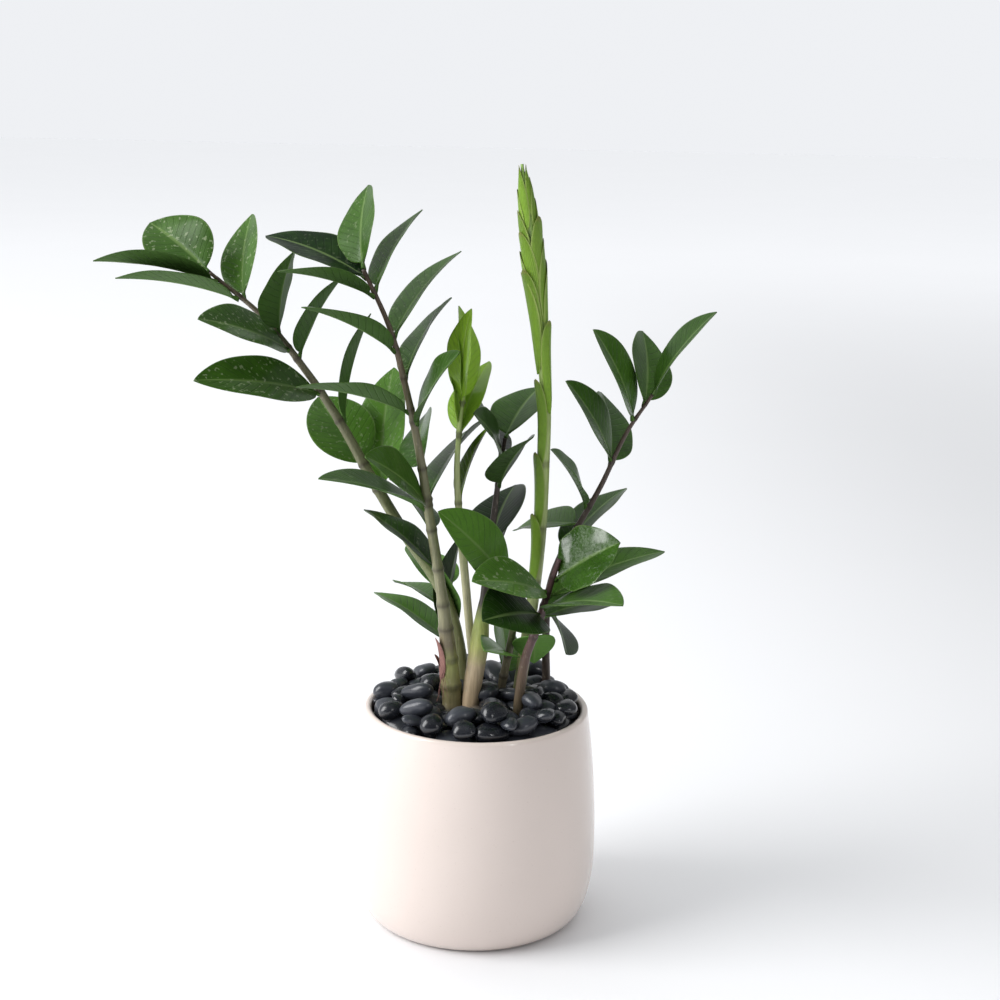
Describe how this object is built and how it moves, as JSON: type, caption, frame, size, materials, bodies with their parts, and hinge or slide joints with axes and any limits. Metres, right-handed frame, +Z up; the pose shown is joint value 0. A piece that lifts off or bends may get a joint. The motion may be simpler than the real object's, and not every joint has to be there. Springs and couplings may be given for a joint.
{
  "type": "potted ZZ plant",
  "caption": "Potted ZZ plant with fleshy stems and glossy pointed leaflets, rising from dark river pebbles in a round-bellied glazed ceramic pot.",
  "frame": {"origin": "the pot's axis on the surface it stands on, at the centre of its flat foot", "axes": "+Z up along the pot's axis; -Y is the front, +X to the right seen from the front"},
  "size_m": [0.3655, 0.1556, 0.4602],
  "materials": {
    "glaze": "gloss",
    "soil": "matte",
    "pebbles": "satin",
    "leaf": "gloss",
    "young_leaf": "gloss",
    "new_shoot": "satin",
    "stem": "satin",
    "purple_stem": "satin"
  },
  "bodies": {
    "root": {"arching_leaflet_01": "leaf", "arching_leaflet_02": "leaf", "arching_leaflet_03": "leaf", "arching_leaflet_04": "leaf", "arching_leaflet_05": "leaf", "arching_leaflet_06": "leaf", "arching_leaflet_07": "leaf", "arching_leaflet_08": "leaf", "arching_leaflet_09": "leaf", "arching_leaflet_10": "leaf", "arching_leaflet_11": "leaf", "arching_stem": "stem", "back_sprout": "leaf", "centre_sprout": "leaf", "dark_leaflet_01": "leaf", "dark_leaflet_02": "leaf", "dark_leaflet_03": "leaf", "dark_leaflet_04": "leaf", "dark_leaflet_05": "leaf", "dark_leaflet_06": "leaf", "dark_stem": "stem", "leaning_leaflet_01": "leaf", "leaning_leaflet_02": "leaf", "leaning_leaflet_03": "leaf", "leaning_leaflet_04": "leaf", "leaning_leaflet_05": "leaf", "leaning_leaflet_06": "leaf", "leaning_leaflet_07": "leaf", "leaning_leaflet_08": "leaf", "leaning_leaflet_09": "leaf", "leaning_stem": "purple_stem", "new_shoot": "new_shoot", "pebble_layer": "pebbles", "pot": "glaze", "short_leaflet_01": "leaf", "short_leaflet_02": "leaf", "short_leaflet_03": "leaf", "short_leaflet_04": "leaf", "short_leaflet_05": "leaf", "short_leaflet_06": "leaf", "short_leaflet_07": "leaf", "short_stem": "purple_stem", "soil": "soil", "tall_leaflet_01": "leaf", "tall_leaflet_02": "leaf", "tall_leaflet_03": "leaf", "tall_leaflet_04": "leaf", "tall_leaflet_05": "leaf", "tall_leaflet_06": "leaf", "tall_leaflet_07": "leaf", "tall_leaflet_08": "leaf", "tall_leaflet_09": "leaf", "tall_leaflet_10": "leaf", "tall_leaflet_11": "leaf", "tall_leaflet_12": "leaf", "tall_leaflet_13": "leaf", "tall_leaflet_14": "leaf", "tall_leaflet_15": "leaf", "tall_stem": "stem", "young_shoot": "young_leaf"}
  },
  "joints": []
}
